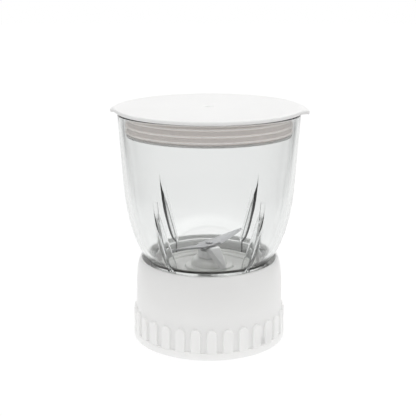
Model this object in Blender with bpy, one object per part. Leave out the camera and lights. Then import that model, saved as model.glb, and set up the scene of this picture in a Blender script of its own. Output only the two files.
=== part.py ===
"""Mill jar with a screw-on blade base: a clear jar, a press-in lid, and a white ring that carries the blades.

The frame is in metres with +Z up. The origin is on the jar's axis, at the bottom of the base ring.
Every outline below is a list of (radius, height) points in millimetres, and MM turns them into metres.
"""

import math

import bmesh
import bpy
from mathutils import Matrix

MM = 0.001

# Overall sizes, in millimetres
GAP = 0.3
LID_TOP_Z = 148.7
LID_RADIUS = 58.2
LID_PLATE = 2.4
TAB_TIP_RADIUS = 62.0
TAB_HALF_ANGLE = math.radians(20)
TAB_TURN = math.radians(-4.5)
DIMPLE_RADIUS = 3.3
PLUG_INNER = 47.6
PLUG_OUTER = 49.6
PLUG_BOTTOM_Z = 132.5
PLUG_BEAD = 51.7
SEAL_INNER = 49.9
SEAL_BODY = 50.9
SEAL_TIP = 52.3
SEAL_BOTTOM_Z = 133.9
SEAL_TOP_Z = 145.6
SEAL_LIP_HEIGHTS = (135.2, 138.9, 142.9)

# The jar: a cone above, an elliptical bowl below it, and a straight neck
JAR_RIM_Z = 145.9
JAR_RIM_RADIUS = 56.85
JAR_CONE_SLOPE = 0.066
JAR_WALL = 3.2
BOWL_TOP_Z = 99.0
BOWL_HEIGHT = 51.0
BOWL_DEPTH = 17.8
NECK_TOP_Z = 50.0
NECK_BOTTOM_Z = 34.0
NECK_RADIUS = 37.6
JAR_SEGMENTS = 48
SEAL_SEGMENTS = 36
SPINDLE_SEGMENTS = 16

# Flow ribs on the inside of the jar
RIB_ANGLES = [math.radians(a) for a in (50, 130, 230, 310)]
RIB_BASE_WIDTH = 3.0
RIB_CREST_WIDTH = 2.2
RIB_CREST = [(50.4, 101.0), (47.4, 89.0), (43.9, 80.5), (38.9, 68.4), (34.6, 58.8), (32.9, 55.0), (32.9, 40.6)]
RIB_SINK = 1.75

# Screw thread between the neck and the base ring: four starts, made as lugs
THREAD_STARTS = 4
THREAD_LEAD = 32.0
THREAD_HEIGHT = 2.4
THREAD_CLEARANCE = 0.5
COLLAR_LUG_ARC = math.radians(52)
NECK_LUG_ARC = math.radians(38)
COLLAR_LUG_START_Z = 41.6
COLLAR_LUG_RADIUS = 39.2
NECK_LUG_RADIUS = 41.3
LUG_STEPS = 6

# The base ring
COLLAR_SEGMENTS = 60
COLLAR_BORE = 42.6
COLLAR_MOUTH = 42.2
COLLAR_RIM_Z = 52.4
FLANGE_RADIUS = 48.9
FLANGE_HEIGHT = 4.6
LEDGE_Z = 29.0
LEDGE_THICKNESS = 2.6
LEDGE_BORE = 32.4
SKIRT_BORE = 44.9
PAD_COUNT = 30
PAD_FIRST_ANGLE = math.radians(-88)
PAD_WIDTH = 6.4
PAD_TOP_Z = 19.3
PAD_FACE = 48.75
PAD_ARC_STEPS = 5
LOCK_TAB_COUNT = 4
LOCK_TAB_RADIUS = 42.6
LOCK_TAB_BOTTOM_Z = 5.0
LOCK_TAB_TOP_Z = 8.0

# The blade unit
CARRIER_RADIUS = 38.8
CARRIER_FLOOR = 2.4
CARRIER_FLANGE = 2.7
GASKET_INNER = 33.4
GASKET_OUTER = 38.4
BOSS_RADIUS = 11.6
BOSS_BORE = 5.4
HOUSING_RADIUS = 7.0
HOUSING_TOP_Z = 57.0
SHAFT_RADIUS = 3.0
BUSH_RADIUS = 4.2
NUT_RADIUS = 8.6
WASHER_RADIUS = 5.6
DOG_TEETH = 6
SCREW_HOLE_RADIUS = 1.8
SCREW_PILOT_RADIUS = 1.5
SHAFT_TOP_Z = 61.7
SHAFT_BOTTOM_Z = 8.0
BLADE_THICKNESS = 1.2
UPPER_BLADE_Z = 59.6
LOWER_BLADE_Z = 58.1
BLADE_HUB_HALF = 6.0
UPPER_BLADE_REACH = 32.2
LOWER_BLADE_REACH = 26.5
UPPER_BLADE_RISE = math.radians(7)
LOWER_BLADE_RISE = math.radians(-21)
UPPER_BLADE_ANGLE = math.radians(46.5)
LOWER_BLADE_ANGLE = math.radians(-69.5)
BLADE_SQUARE = 4.4
SCREW_CIRCLE = 35.6
SCREW_COUNT = 3

# Colours (linear RGB), roughness and metallic value of each material
FINISHES = {
    "white_plastic": ((0.83, 0.83, 0.82), 0.35, 0.0),
    "clear_jar": ((0.82, 0.86, 0.85), 0.05, 0.0),
    "silicone": ((0.62, 0.60, 0.58), 0.45, 0.0),
    "grey_plastic": ((0.60, 0.60, 0.58), 0.40, 0.0),
    "steel": ((0.52, 0.52, 0.53), 0.28, 1.0),
    "dark_steel": ((0.14, 0.14, 0.15), 0.40, 1.0),
    "bronze": ((0.45, 0.30, 0.16), 0.50, 1.0),
    "rubber": ((0.03, 0.03, 0.03), 0.70, 0.0),
    "nylon": ((0.75, 0.73, 0.66), 0.50, 0.0),
    "black_plastic": ((0.03, 0.03, 0.035), 0.45, 0.0),
}


def clear_scene():
    for old in list(bpy.data.objects):
        bpy.data.objects.remove(old)


def finish(name):
    """The Principled material of this name, made the first time it is asked for."""
    found = bpy.data.materials.get(name)
    if found:
        return found
    colour, roughness, metallic = FINISHES[name]
    made = bpy.data.materials.new(name)
    made.use_nodes = True
    shader = made.node_tree.nodes["Principled BSDF"]
    shader.inputs["Base Color"].default_value = (*colour, 1.0)
    shader.inputs["Roughness"].default_value = roughness
    shader.inputs["Metallic"].default_value = metallic
    return made


def object_from(name, shape, material, smooth_angle=math.radians(32)):
    """One object from a bmesh, with its faces turned outwards and its round faces shaded smooth."""
    bmesh.ops.recalc_face_normals(shape, faces=shape.faces)
    mesh = bpy.data.meshes.new(name)
    shape.to_mesh(mesh)
    shape.free()
    mesh.shade_smooth()
    mesh.set_sharp_from_angle(angle=smooth_angle)
    mesh.materials.append(finish(material))
    made = bpy.data.objects.new(name, mesh)
    bpy.context.scene.collection.objects.link(made)
    return made


def spun(profile, segments):
    """A bmesh: the closed (radius, height) outline turned once round Z. A point at radius 0 stays single."""
    shape = bmesh.new()
    points = [shape.verts.new((r * MM, 0.0, z * MM)) for r, z in profile]
    edges = [shape.edges.new((a, b)) for a, b in zip(points, points[1:] + points[:1])]
    edges = [e for e in edges if max(abs(v.co.x) for v in e.verts) > 0.0]
    on_axis = [e for e in shape.edges if e not in edges]
    bmesh.ops.delete(shape, geom=on_axis, context="EDGES_FACES")
    bmesh.ops.spin(
        shape,
        geom=list(shape.verts) + list(shape.edges),
        cent=(0, 0, 0),
        axis=(0, 0, 1),
        angle=2 * math.pi,
        steps=segments,
        use_merge=True,
    )
    bmesh.ops.remove_doubles(shape, verts=shape.verts, dist=1e-7)
    return shape


def turned(name, profile, segments, material):
    return object_from(name, spun(profile, segments), material)


def ring(name, inner, outer, bottom, top, segments, material):
    profile = [(inner, bottom), (outer, bottom), (outer, top), (inner, top)]
    return turned(name, profile, segments, material)


def prism(outline, bottom, top):
    """A bmesh: an (x, y) outline in millimetres pushed up from one height to another."""
    shape = bmesh.new()
    base = shape.faces.new([shape.verts.new((x * MM, y * MM, bottom * MM)) for x, y in outline])
    raised = bmesh.ops.extrude_face_region(shape, geom=[base])["geom"]
    lifted = [v for v in raised if isinstance(v, bmesh.types.BMVert)]
    bmesh.ops.translate(shape, verts=lifted, vec=(0, 0, (top - bottom) * MM))
    return shape


def arc(radius, start, end, steps):
    """Points on a circle about the axis, both ends included."""
    angles = [start + (end - start) * i / steps for i in range(steps + 1)]
    return [(radius * math.cos(a), radius * math.sin(a)) for a in angles]


def about_z(angle):
    return Matrix.Rotation(angle, 3, "Z")


def copies_at(shape, angles):
    """The bmesh repeated round Z at these angles, as separate closed bodies."""
    originals = list(shape.verts)
    single = originals + list(shape.edges) + list(shape.faces)
    for angle in angles[1:]:
        copied = bmesh.ops.duplicate(shape, geom=single)["geom"]
        verts = [v for v in copied if isinstance(v, bmesh.types.BMVert)]
        bmesh.ops.rotate(shape, verts=verts, cent=(0, 0, 0), matrix=about_z(angle))
    bmesh.ops.rotate(shape, verts=originals, cent=(0, 0, 0), matrix=about_z(angles[0]))
    return shape


def rotated_copies(shape, count, first):
    """The bmesh repeated round Z at equal angles."""
    return copies_at(shape, [first + 2 * math.pi * i / count for i in range(count)])


def combine(target, tool_shape, operation, label):
    """Adds a Boolean to the target with the bmesh as its hidden helper object."""
    helper = object_from(f"{target.name}_{label}", tool_shape, "grey_plastic")
    helper.hide_render = True
    helper.display_type = "WIRE"
    change = target.modifiers.new(label, "BOOLEAN")
    change.operation = operation
    change.solver = "EXACT"
    change.object = helper


def thread_lugs(inner, outer, start_angle, start_z, sweep):
    """Four helical lugs, each with a rectangular section from the inner to the outer radius."""
    shape = bmesh.new()
    rows = []
    half = THREAD_HEIGHT / 2
    for i in range(LUG_STEPS + 1):
        share = i / LUG_STEPS
        angle = start_angle + sweep * share
        z = start_z + THREAD_LEAD * sweep * share / (2 * math.pi)
        corners = [(inner, z - half), (outer, z - half), (outer, z + half), (inner, z + half)]
        row = []
        for r, height in corners:
            row.append(shape.verts.new((r * math.cos(angle) * MM, r * math.sin(angle) * MM, height * MM)))
        rows.append(row)
    for low, high in zip(rows, rows[1:]):
        for k in range(4):
            n = (k + 1) % 4
            shape.faces.new((low[k], low[n], high[n], high[k]))
    shape.faces.new(rows[0][::-1])
    shape.faces.new(rows[-1])
    bmesh.ops.recalc_face_normals(shape, faces=shape.faces)
    return rotated_copies(shape, THREAD_STARTS, 0.0)


# ---------------------------------------------------------------- lid


def lid_outline(steps=11):
    """The lid's edge: a disc whose rim runs straight out to a rounded tab tip on two sides."""
    reach = math.pi / 2 - TAB_HALF_ANGLE
    side = arc(LID_RADIUS, math.pi / 2 - reach, math.pi / 2 + reach, 2 * steps)
    tip_half = math.radians(2.2)
    tip = arc(TAB_TIP_RADIUS, -tip_half, tip_half, 2)
    outline = tip + side + [(-x, -y) for x, y in tip] + [(-x, -y) for x, y in side]
    c = math.cos(TAB_TURN)
    s = math.sin(TAB_TURN)
    return [(c * x - s * y, s * x + c * y) for x, y in outline]


def make_lid():
    """The cover plate and the hollow plug under it, as one moulding."""
    plate_bottom = LID_TOP_Z - LID_PLATE
    lid = object_from("lid", prism(lid_outline(), plate_bottom, LID_TOP_Z), "white_plastic")
    soften = lid.modifiers.new("edge", "BEVEL")
    soften.width = 0.7 * MM
    soften.segments = 2
    soften.limit_method = "ANGLE"
    soften.angle_limit = math.radians(60)
    plug = spun(
        [
            (PLUG_INNER, plate_bottom + 1.0),
            (PLUG_INNER, PLUG_BOTTOM_Z),
            (PLUG_BEAD - 0.3, PLUG_BOTTOM_Z),
            (PLUG_BEAD, PLUG_BOTTOM_Z + 0.4),
            (PLUG_BEAD - 0.3, PLUG_BOTTOM_Z + 1.0),
            (PLUG_OUTER, PLUG_BOTTOM_Z + 1.1),
            (PLUG_OUTER, plate_bottom + 1.0),
        ],
        JAR_SEGMENTS,
    )
    combine(lid, plug, "UNION", "plug")
    above = LID_TOP_Z + 1.0
    dimple = [(0.0, LID_TOP_Z - 0.7), (2.6, LID_TOP_Z - 0.5), (DIMPLE_RADIUS, above), (0.0, above)]
    combine(lid, spun(dimple, SPINDLE_SEGMENTS), "DIFFERENCE", "dimple")


def make_lid_seal():
    """Silicone sleeve round the plug, with three soft lips."""
    body = SEAL_BODY
    tip = SEAL_TIP
    profile = [(SEAL_INNER, SEAL_TOP_Z), (SEAL_INNER, SEAL_BOTTOM_Z), (body, SEAL_BOTTOM_Z)]
    for lip_z in SEAL_LIP_HEIGHTS:
        profile += [(body, lip_z - 0.8), (tip, lip_z - 0.1), (tip, lip_z + 0.3), (body, lip_z + 0.6)]
    profile += [(body, SEAL_TOP_Z)]
    return turned("lid_seal", profile, SEAL_SEGMENTS, "silicone")


# ---------------------------------------------------------------- jar


def jar_radius(z):
    """Outer radius of the bowl and cone at this height."""
    cone = JAR_RIM_RADIUS - JAR_CONE_SLOPE * (JAR_RIM_Z - z)
    if z >= BOWL_TOP_Z:
        return cone
    share = (BOWL_TOP_Z - z) / BOWL_HEIGHT
    return cone - BOWL_DEPTH * (1 - math.sqrt(1 - share * share))


def jar_profile():
    """The jar's section: up the outside, over the rim, and down the inside at one wall thickness."""
    heights = [NECK_TOP_Z, 53.0, 57.0, 62.0, 68.0, 76.0, 86.0, BOWL_TOP_Z, 120.0]
    outside = [(jar_radius(z), z) for z in heights]
    inside = []
    for z in heights[1:]:
        slope = (jar_radius(z + 0.5) - jar_radius(z - 0.5)) / 1.0
        length = math.hypot(1.0, slope)
        inside.append((jar_radius(z) - JAR_WALL / length, z + JAR_WALL * slope / length))
    inside.reverse()
    rim = [
        (JAR_RIM_RADIUS, JAR_RIM_Z - 1.1),
        (JAR_RIM_RADIUS - 0.9, JAR_RIM_Z),
        (JAR_RIM_RADIUS - JAR_WALL + 0.9, JAR_RIM_Z),
        (JAR_RIM_RADIUS - JAR_WALL, JAR_RIM_Z - 1.1),
    ]
    neck_inner = NECK_RADIUS - JAR_WALL
    neck = [(neck_inner, NECK_TOP_Z + 2.4), (neck_inner, NECK_BOTTOM_Z), (NECK_RADIUS, NECK_BOTTOM_Z)]
    return outside + rim + inside + neck


def flow_rib():
    """One rib as a wedge: its crest follows RIB_CREST and its base is sunk into the wall."""
    shape = bmesh.new()
    rows = []
    for r, z in RIB_CREST:
        wall = jar_radius(z) if z > NECK_TOP_Z else NECK_RADIUS
        sunk = wall - RIB_SINK
        points = [
            (r, -RIB_CREST_WIDTH / 2, z),
            (sunk, -RIB_BASE_WIDTH / 2, z),
            (sunk, RIB_BASE_WIDTH / 2, z),
            (r, RIB_CREST_WIDTH / 2, z),
        ]
        rows.append([shape.verts.new((x * MM, y * MM, h * MM)) for x, y, h in points])
    for low, high in zip(rows, rows[1:]):
        for k in range(4):
            n = (k + 1) % 4
            shape.faces.new((low[k], low[n], high[n], high[k]))
    shape.faces.new(rows[0][::-1])
    shape.faces.new(rows[-1])
    return copies_at(shape, RIB_ANGLES)


def make_jar():
    jar = turned("jar", jar_profile(), JAR_SEGMENTS, "clear_jar")
    combine(jar, flow_rib(), "UNION", "ribs")
    drop = THREAD_HEIGHT + THREAD_CLEARANCE
    lag = (COLLAR_LUG_ARC - NECK_LUG_ARC) / 2
    start_z = COLLAR_LUG_START_Z - drop + THREAD_LEAD * lag / (2 * math.pi)
    lugs = thread_lugs(NECK_RADIUS - 1.2, NECK_LUG_RADIUS, lag, start_z, NECK_LUG_ARC)
    combine(jar, lugs, "UNION", "lugs")


# ---------------------------------------------------------------- base ring


def grip_pad():
    """One raised pad: an upright plate with a round top, standing out of the ring's wall."""
    half = PAD_WIDTH / 2
    low = FLANGE_HEIGHT - 1.6
    spring = PAD_TOP_Z - half
    outline = [(-half, low), (half, low)]
    for i in range(PAD_ARC_STEPS + 1):
        angle = math.pi * i / PAD_ARC_STEPS
        outline.append((half * math.cos(angle), spring + half * math.sin(angle)))
    shape = bmesh.new()
    inner = 46.0
    chamfer = 0.45
    rows = []
    for r, shrink in ((inner, 0.0), (PAD_FACE - chamfer, 0.0), (PAD_FACE, chamfer)):
        scale = (half - shrink) / half
        row = []
        for y, z in outline:
            lifted = low + (z - low) * (1 - shrink / (PAD_TOP_Z - low))
            row.append(shape.verts.new((r * MM, y * scale * MM, lifted * MM)))
        rows.append(row)
    count = len(outline)
    for near, far in zip(rows, rows[1:]):
        for k in range(count):
            n = (k + 1) % count
            shape.faces.new((near[k], near[n], far[n], far[k]))
    shape.faces.new(rows[0][::-1])
    shape.faces.new(rows[-1])
    bmesh.ops.recalc_face_normals(shape, faces=shape.faces)
    return rotated_copies(shape, PAD_COUNT, PAD_FIRST_ANGLE)


def collar_profile():
    """Section of the base ring: foot flange, tapered wall, rounded mouth, bore, ledge and skirt."""
    return [
        (48.5, 0.0),
        (FLANGE_RADIUS, 0.5),
        (FLANGE_RADIUS, FLANGE_HEIGHT - 0.3),
        (48.6, FLANGE_HEIGHT),
        (47.35, FLANGE_HEIGHT + 0.2),
        (46.9, 27.0),
        (46.55, 40.0),
        (46.1, 44.5),
        (45.4, 48.4),
        (44.3, 51.4),
        (43.3, COLLAR_RIM_Z),
        (42.5, 51.9),
        (COLLAR_MOUTH, 50.6),
        (COLLAR_BORE, 48.8),
        (COLLAR_BORE, LEDGE_Z),
        (LEDGE_BORE, LEDGE_Z),
        (LEDGE_BORE, LEDGE_Z - LEDGE_THICKNESS),
        (SKIRT_BORE - 0.6, LEDGE_Z - LEDGE_THICKNESS),
        (SKIRT_BORE, LEDGE_Z - LEDGE_THICKNESS - 1.0),
        (SKIRT_BORE + 0.5, 0.0),
    ]


def lock_tab():
    """One inward tab near the foot, which a drive unit's socket would hold."""
    sweep = math.radians(7)
    outline = arc(SKIRT_BORE + 1.4, -sweep, sweep, 4) + arc(LOCK_TAB_RADIUS, sweep, -sweep, 4)
    shape = prism(outline, LOCK_TAB_BOTTOM_Z, LOCK_TAB_TOP_Z)
    bmesh.ops.recalc_face_normals(shape, faces=shape.faces)
    return rotated_copies(shape, LOCK_TAB_COUNT, math.radians(45))


def screw_holes(radius, bottom, top):
    shape = spun([(0.0, bottom), (radius, bottom), (radius, top), (0.0, top)], 12)
    bmesh.ops.recalc_face_normals(shape, faces=shape.faces)
    bmesh.ops.translate(shape, verts=shape.verts, vec=(SCREW_CIRCLE * MM, 0, 0))
    return rotated_copies(shape, SCREW_COUNT, math.radians(90))


def make_collar():
    collar = turned("base_collar", collar_profile(), COLLAR_SEGMENTS, "white_plastic")
    combine(collar, grip_pad(), "UNION", "pads")
    lugs = thread_lugs(COLLAR_LUG_RADIUS, COLLAR_BORE + 1.2, 0.0, COLLAR_LUG_START_Z, COLLAR_LUG_ARC)
    combine(collar, lugs, "UNION", "lugs")
    combine(collar, lock_tab(), "UNION", "lock_tabs")
    holes = screw_holes(SCREW_HOLE_RADIUS, LEDGE_Z - LEDGE_THICKNESS - 1, LEDGE_Z + 1)
    combine(collar, holes, "DIFFERENCE", "screw_holes")


# ---------------------------------------------------------------- blade unit


def make_carrier():
    """The jar's floor: a flange under the neck, three steps up to a domed boss, hollow underneath."""
    flange = LEDGE_Z + GAP
    top = flange + CARRIER_FLANGE
    floor = CARRIER_FLOOR
    carrier = turned(
        "blade_carrier",
        [
            (CARRIER_RADIUS, flange),
            (CARRIER_RADIUS, top),
            (31.8, top),
            (31.0, 40.4),
            (27.0, 41.2),
            (26.4, 43.2),
            (16.0, 43.6),
            (15.3, 46.0),
            (BOSS_RADIUS, 46.2),
            (BOSS_RADIUS, 48.4),
            (10.6, 50.4),
            (8.4, 51.4),
            (BOSS_BORE, 51.5),
            (BOSS_BORE, 38.6),
            (13.4, 38.6),
            (14.0, 43.6 - floor),
            (24.4, 43.2 - floor),
            (25.0, 38.2),
            (28.8, 37.8),
            (29.6, flange),
        ],
        SEAL_SEGMENTS,
        "grey_plastic",
    )
    combine(carrier, screw_holes(SCREW_PILOT_RADIUS, flange - 1, top - 0.7), "DIFFERENCE", "screw_holes")


def make_gasket():
    bottom = LEDGE_Z + GAP + CARRIER_FLANGE + GAP
    top = NECK_BOTTOM_Z - GAP
    ring("jar_gasket", GASKET_INNER, GASKET_OUTER, bottom, top, SEAL_SEGMENTS, "silicone")


def make_housing():
    """The spindle sleeve: a tube through the boss with a shoulder that rests on it."""
    return turned(
        "bearing_housing",
        [
            (HOUSING_RADIUS, 51.8),
            (HOUSING_RADIUS, HOUSING_TOP_Z - 0.6),
            (HOUSING_RADIUS - 0.6, HOUSING_TOP_Z),
            (5.0, HOUSING_TOP_Z),
            (5.0, 53.0),
            (4.4, 52.8),
            (4.4, 32.4),
            (5.1, 32.4),
            (5.1, 51.8),
        ],
        24,
        "dark_steel",
    )


def make_bearings():
    """Two bushes and a lip seal inside the sleeve, and the ring and nut that clamp it below the boss."""
    bush_bore = SHAFT_RADIUS + 0.12
    ring("upper_bush", bush_bore, BUSH_RADIUS, 44.4, 52.4, SPINDLE_SEGMENTS, "bronze")
    ring("lower_bush", bush_bore, BUSH_RADIUS, 32.8, 40.8, SPINDLE_SEGMENTS, "bronze")
    lip = [(SHAFT_RADIUS + 0.35, 55.2), (3.9, 53.4), (4.8, 53.4), (4.8, 56.6)]
    lip += [(3.4, 56.6), (SHAFT_RADIUS + 0.2, 56.0)]
    turned("shaft_seal", lip, SPINDLE_SEGMENTS, "rubber")
    ring("housing_ring", 5.4, 8.4, 37.2, 38.3, SPINDLE_SEGMENTS, "rubber")
    nut = object_from("housing_nut", prism(arc(NUT_RADIUS, 0.0, 2 * math.pi * 5 / 6, 5), 33.0, 36.9), "steel")
    bore = spun([(0.0, 32.0), (5.35, 32.0), (5.35, 38.0), (0.0, 38.0)], SPINDLE_SEGMENTS)
    combine(nut, bore, "DIFFERENCE", "bore")


def make_shaft():
    """Round below, square where the blades sit, with a riveted head on top."""
    head = SHAFT_TOP_Z
    shaft = turned(
        "blade_shaft",
        [
            (0.0, SHAFT_BOTTOM_Z),
            (2.6, SHAFT_BOTTOM_Z),
            (SHAFT_RADIUS, SHAFT_BOTTOM_Z + 0.5),
            (SHAFT_RADIUS, 29.4),
            (2.4, 29.4),
            (2.4, 30.5),
            (SHAFT_RADIUS, 30.5),
            (SHAFT_RADIUS, 57.3),
            (1.9, 57.3),
            (1.9, UPPER_BLADE_Z + BLADE_THICKNESS + 0.15),
            (2.5, UPPER_BLADE_Z + BLADE_THICKNESS + 0.15),
            (2.3, head - 0.3),
            (1.4, head),
            (0.0, head),
        ],
        SPINDLE_SEGMENTS,
        "steel",
    )
    half = BLADE_SQUARE / 2 - 0.15
    square = prism([(-half, -half), (half, -half), (half, half), (-half, half)], 57.0, UPPER_BLADE_Z + 1.3)
    combine(shaft, square, "UNION", "square")


def blade_outline(reach, tip_half, root_half, belly):
    """One wing's outline from hub to tip, as (x, y) points; the other wing is its half turn."""
    return [
        (BLADE_HUB_HALF, -root_half),
        (reach * 0.6, -root_half * belly),
        (reach - 1.2, -tip_half),
        (reach, 0.0),
        (reach - 0.6, tip_half),
        (reach * 0.6, root_half * 0.92),
        (BLADE_HUB_HALF, root_half),
    ]


def make_blade(name, wing, base_z, rise, angle):
    """A flat strip with a square hole, its wings bent up or down from the hub and cut to a point."""
    outline = wing + [(-x, -y) for x, y in wing]
    shape = prism(outline, base_z, base_z + BLADE_THICKNESS)
    bmesh.ops.triangulate(shape, faces=[f for f in shape.faces if len(f.verts) > 4])
    for vert in shape.verts:
        beyond = max(0.0, abs(vert.co.x) / MM - BLADE_HUB_HALF)
        vert.co.z += beyond * math.tan(rise) * MM
    bmesh.ops.rotate(shape, verts=shape.verts, cent=(0, 0, 0), matrix=about_z(angle))
    blade = object_from(name, shape, "steel")
    half = BLADE_SQUARE / 2
    hole = prism([(-half, -half), (half, -half), (half, half), (-half, half)], base_z - 2, base_z + 3)
    combine(blade, hole, "DIFFERENCE", "hole")


def make_blades():
    """The upper blade, whose wings rise, the lower one, whose wings drop, and the washer under them."""
    upper = blade_outline(UPPER_BLADE_REACH, 0.7, 4.6, 0.85)
    make_blade("upper_blade", upper, UPPER_BLADE_Z, UPPER_BLADE_RISE, UPPER_BLADE_ANGLE)
    lower = blade_outline(LOWER_BLADE_REACH, 1.6, 4.8, 0.95)
    make_blade("lower_blade", lower, LOWER_BLADE_Z, LOWER_BLADE_RISE, LOWER_BLADE_ANGLE)
    ring("blade_washer", SHAFT_RADIUS + 0.2, WASHER_RADIUS, 57.3, 57.9, SPINDLE_SEGMENTS, "steel")


def make_drive():
    """Washers, clip and drive dog below the lower bush."""
    bore = SHAFT_RADIUS + 0.2
    ring("thrust_washer_steel", bore, WASHER_RADIUS, 31.6, 32.1, SPINDLE_SEGMENTS, "steel")
    ring("thrust_washer_nylon", bore, WASHER_RADIUS, 30.8, 31.3, SPINDLE_SEGMENTS, "nylon")
    clip = ring("shaft_circlip", 2.6, 4.4, 29.6, 30.3, SPINDLE_SEGMENTS, "dark_steel")
    slot = prism([(0.0, -1.2), (6.0, -1.2), (6.0, 1.2), (0.0, 1.2)], 29.0, 31.0)
    combine(clip, slot, "DIFFERENCE", "slot")
    turned(
        "coupling_insert",
        [
            (SHAFT_RADIUS + 0.15, 10.0),
            (5.2, 10.0),
            (5.2, 15.0),
            (6.4, 15.0),
            (6.4, 19.0),
            (5.2, 19.0),
            (5.2, 28.6),
            (SHAFT_RADIUS + 0.15, 28.6),
        ],
        SPINDLE_SEGMENTS,
        "steel",
    )
    dog = turned(
        "drive_coupling",
        [
            (5.5, 8.6),
            (9.0, 8.6),
            (9.6, 9.2),
            (9.6, 22.0),
            (13.6, 22.0),
            (13.6, 25.4),
            (5.5, 25.4),
            (5.5, 19.3),
            (6.7, 19.3),
            (6.7, 14.7),
            (5.5, 14.7),
        ],
        24,
        "black_plastic",
    )
    tooth = prism([(9.0, -1.7), (13.2, -1.2), (13.2, 1.2), (9.0, 1.7)], 10.0, 22.6)
    bmesh.ops.recalc_face_normals(tooth, faces=tooth.faces)
    combine(dog, rotated_copies(tooth, DOG_TEETH, 0.0), "UNION", "teeth")


def make_carrier_screws():
    """Three pan-head screws up through the ledge into the carrier's flange."""
    for i in range(SCREW_COUNT):
        screw = turned(
            f"carrier_screw_{i + 1}",
            [
                (0.0, 24.2),
                (2.4, 24.2),
                (2.9, 24.8),
                (2.9, 26.1),
                (1.2, 26.1),
                (1.2, 30.4),
                (0.6, 30.9),
                (0.0, 30.9),
            ],
            12,
            "steel",
        )
        angle = math.radians(90) + 2 * math.pi * i / SCREW_COUNT
        screw.location = (SCREW_CIRCLE * MM * math.cos(angle), SCREW_CIRCLE * MM * math.sin(angle), 0)


def main():
    clear_scene()
    make_lid()
    make_lid_seal()
    make_jar()
    make_gasket()
    make_collar()
    make_carrier()
    make_housing()
    make_bearings()
    make_shaft()
    make_blades()
    make_drive()
    make_carrier_screws()


main()
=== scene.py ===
# %% [markdown]
# # A mill jar on its blade ring
#
# This lesson dresses a small kitchen mill: a clear ribbed jar, a white lid pressed into it, and a white
# ring screwed under it that carries two crossed blades. The working model already exists. It says where
# each part is and what it turns or slides with, so every piece made here takes its place from that model
# and rides on one of its bodies. Lengths inside the lesson are millimetres, and MM turns them into metres.

# %% Load the frame
import math

import bmesh
import bpy
from mathutils import Matrix, Vector


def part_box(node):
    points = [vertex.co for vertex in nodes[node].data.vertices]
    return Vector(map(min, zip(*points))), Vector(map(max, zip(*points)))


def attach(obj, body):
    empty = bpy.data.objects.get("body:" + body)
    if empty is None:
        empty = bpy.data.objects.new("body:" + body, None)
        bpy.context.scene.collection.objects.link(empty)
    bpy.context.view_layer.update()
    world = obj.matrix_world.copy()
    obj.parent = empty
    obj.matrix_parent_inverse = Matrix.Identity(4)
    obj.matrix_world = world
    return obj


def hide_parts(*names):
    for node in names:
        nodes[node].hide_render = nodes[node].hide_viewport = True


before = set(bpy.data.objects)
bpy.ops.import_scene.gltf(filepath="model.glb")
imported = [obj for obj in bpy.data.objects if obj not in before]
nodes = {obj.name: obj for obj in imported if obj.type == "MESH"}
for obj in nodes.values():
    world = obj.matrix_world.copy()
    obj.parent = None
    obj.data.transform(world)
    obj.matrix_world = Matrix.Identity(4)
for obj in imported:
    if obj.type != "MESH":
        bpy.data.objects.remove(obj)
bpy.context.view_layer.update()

MM = 0.001

# %% [markdown]
# ## Reading sizes off the model
#
# A lathe-made object is mostly radii and heights. The box round a node gives both: its upper corner's x is
# the outer radius, and its z values are the levels. Reading them here keeps the fine pieces the size of the
# plain ones, even if the model is changed later.


# %% Sizes from the model
def radius_of(node):
    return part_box(node)[1].x / MM


def bottom_of(node):
    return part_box(node)[0].z / MM


def top_of(node):
    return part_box(node)[1].z / MM


rim_radius = radius_of("jar")
rim_z = top_of("jar")
neck_z = bottom_of("jar")
foot_radius = radius_of("base_collar")
mouth_z = top_of("base_collar")
lid_z = top_of("lid")
print(f"rim {2 * rim_radius:.1f} mm across, foot {2 * foot_radius:.1f} mm, lid top at {lid_z:.1f} mm")

# %% [markdown]
# ## The camera
#
# A product picture of a jar is taken from a little above the lid, with a long lens so that the sides stay
# almost upright. The camera stands on the jar's front-to-back plane and looks slightly down.

# %% Camera
CAMERA_BACK = 573.17
CAMERA_HEIGHT = 236.38
CAMERA_DROP = math.radians(14.936)
CAMERA_SIDE = -0.7
LENS = 80.6

camera_data = bpy.data.cameras.new("studio_camera")
camera_data.lens = LENS
camera = bpy.data.objects.new("studio_camera", camera_data)
camera.location = (CAMERA_SIDE * MM, -CAMERA_BACK * MM, CAMERA_HEIGHT * MM)
camera.rotation_euler = (math.pi / 2 - CAMERA_DROP, 0.0, 0.0)
bpy.context.scene.collection.objects.link(camera)
bpy.context.scene.camera = camera
print("camera", round(CAMERA_BACK), "mm in front of the jar's axis")

# %% [markdown]
# ## Turning a section on a lathe
#
# Nearly every piece is a section turned round one axis. Blender's Spin or Screw would do it, but both give
# evenly spaced columns, and a jar with ribs needs more columns where a rib is. So the lathe here takes a
# list of angles, and a `bend` function that may move each point, which is how the ribs and the lid's tabs
# are raised. Corners are given with a cut length, and each is rounded with a short curve, because a
# moulding has no perfectly sharp edge.


# %% Rounded sections
def rounded(corners, steps=4):
    """Points of a section from corners (radius, height, cut): a cut above 0 rounds that corner."""
    points = []
    count = len(corners)
    for i, (r, z, cut) in enumerate(corners):
        here = Vector((r, z))
        if cut == 0:
            points.append((r, z))
            continue
        before = Vector(corners[i - 1][:2])
        after = Vector(corners[(i + 1) % count][:2])
        start = here + (before - here).normalized() * cut
        end = here + (after - here).normalized() * cut
        for k in range(steps + 1):
            t = k / steps
            p = start * (1 - t) ** 2 + here * 2 * t * (1 - t) + end * t * t
            points.append((p.x, p.y))
    return points


def even_turns(count):
    return [2 * math.pi * i / count for i in range(count)]


# %% The lathe
ON_AXIS = 1e-6


def round_point(angle, r, z):
    """Metres in x, y and z, from an angle, a radius and a height in millimetres."""
    return (r * math.cos(angle) * MM, r * math.sin(angle) * MM, z * MM)


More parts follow.
